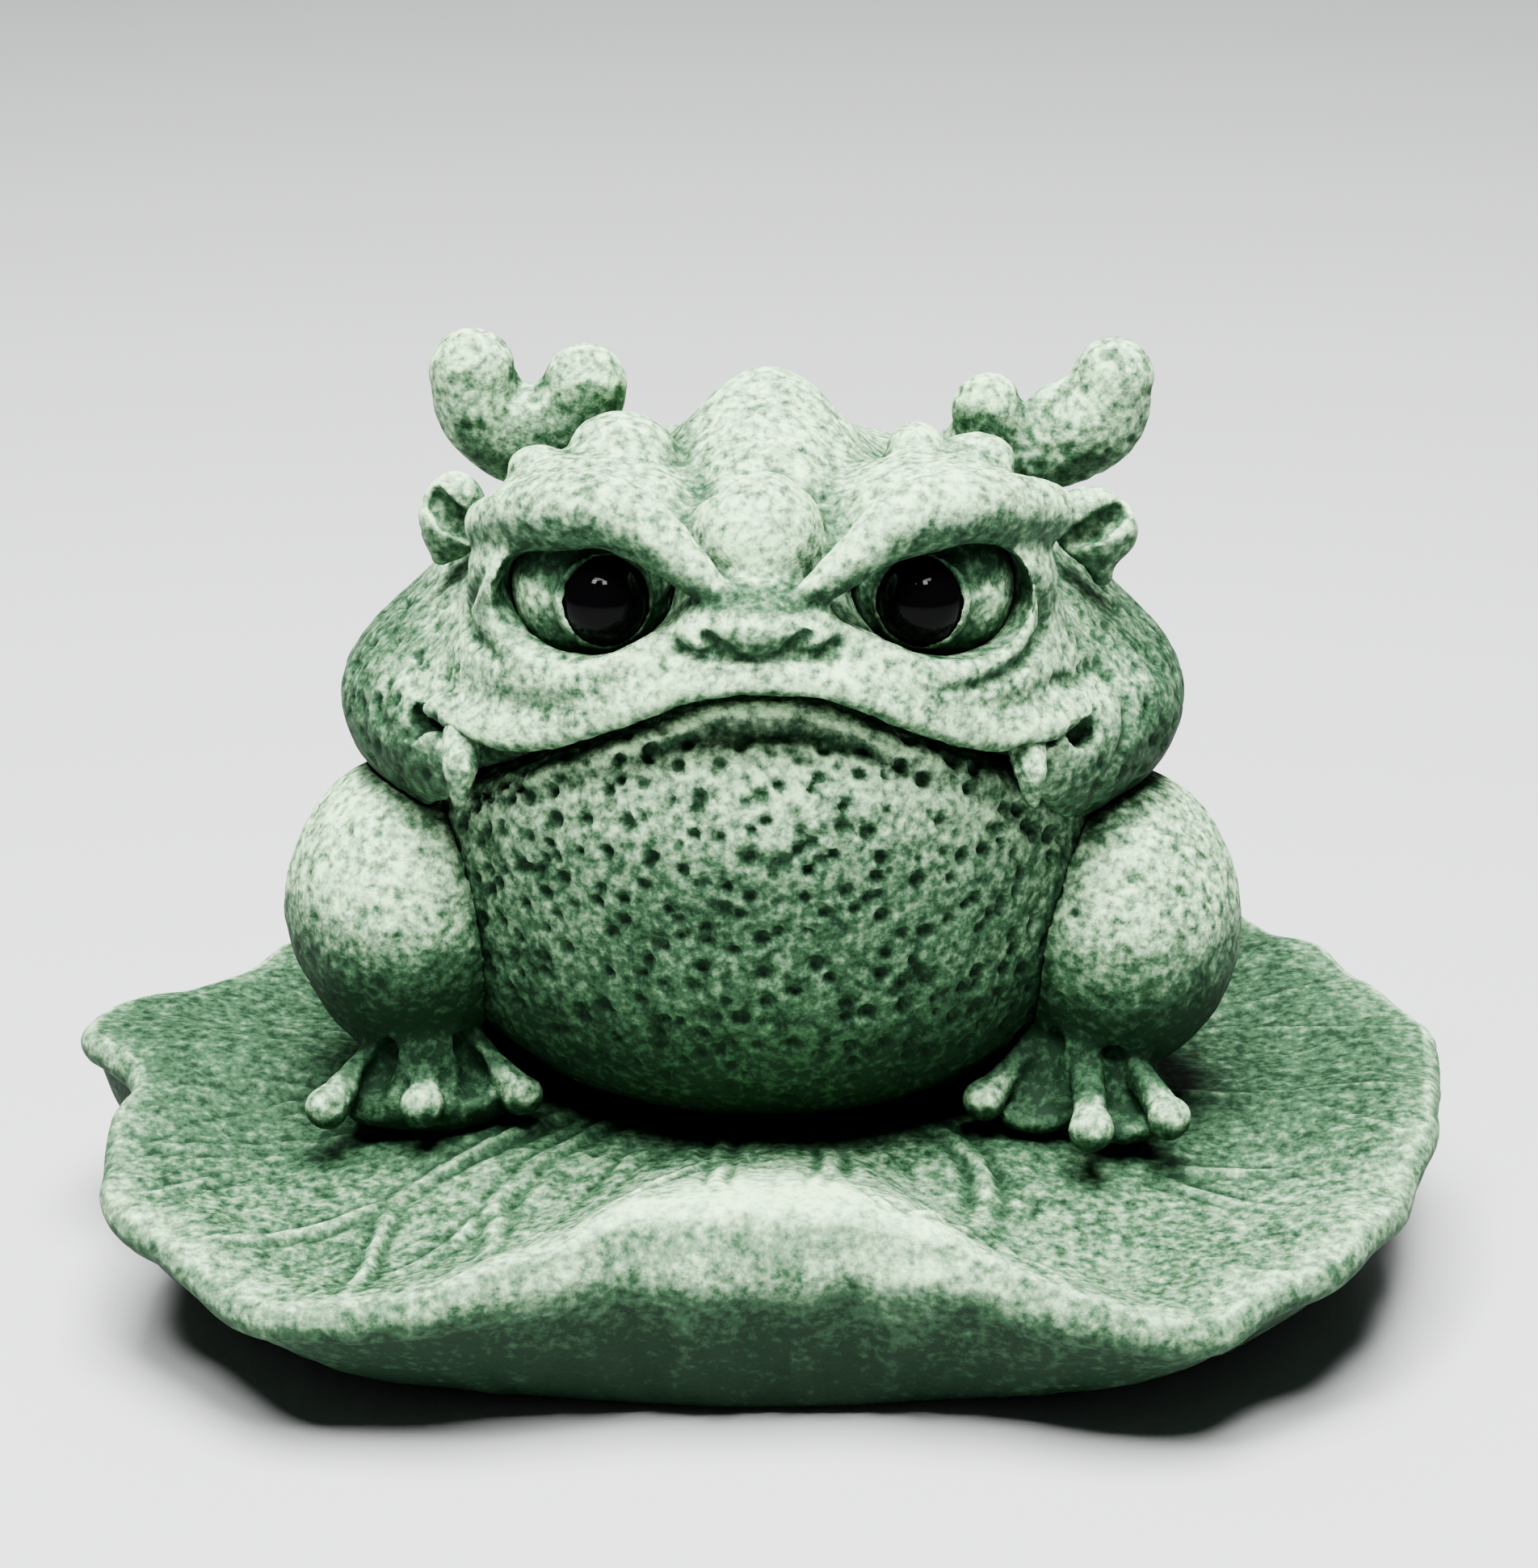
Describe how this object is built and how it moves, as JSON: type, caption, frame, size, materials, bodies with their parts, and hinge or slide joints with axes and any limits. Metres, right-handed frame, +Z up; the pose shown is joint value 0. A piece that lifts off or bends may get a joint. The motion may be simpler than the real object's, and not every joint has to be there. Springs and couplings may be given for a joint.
{
  "type": "animal figurine",
  "caption": "Squat horned toad with glass bead eyes, sitting on a wavy lotus leaf base, cast in green stone with a felt-covered foot.",
  "frame": {"origin": "middle of the felt's underside, on the surface that the figurine stands on", "axes": "+Z up; -Y is the toad's front; +X is the viewer's right when facing the toad"},
  "size_m": [0.0984, 0.0818, 0.0666],
  "materials": {
    "figure_stone": "matte, speckled, dark green wash in the hollows",
    "leaf_stone": "matte, speckled, dark green wash in the hollows",
    "eye_glass": "polished black",
    "felt": "short pile felt",
    "dowel_steel": "bright drawn"
  },
  "bodies": {
    "root": {"leaf_base": "leaf_stone", "base_felt": "felt", "dowels": "dowel_steel", "torso": "figure_stone", "head": "figure_stone", "left_front_leg": "figure_stone", "right_front_leg": "figure_stone", "left_hind_leg": "figure_stone", "right_hind_leg": "figure_stone", "left_horn": "figure_stone", "right_horn": "figure_stone", "left_ear": "figure_stone", "right_ear": "figure_stone", "left_eyeball": "figure_stone", "right_eyeball": "figure_stone", "left_eye": "eye_glass", "right_eye": "eye_glass", "left_fang": "figure_stone", "right_fang": "figure_stone"}
  },
  "joints": []
}
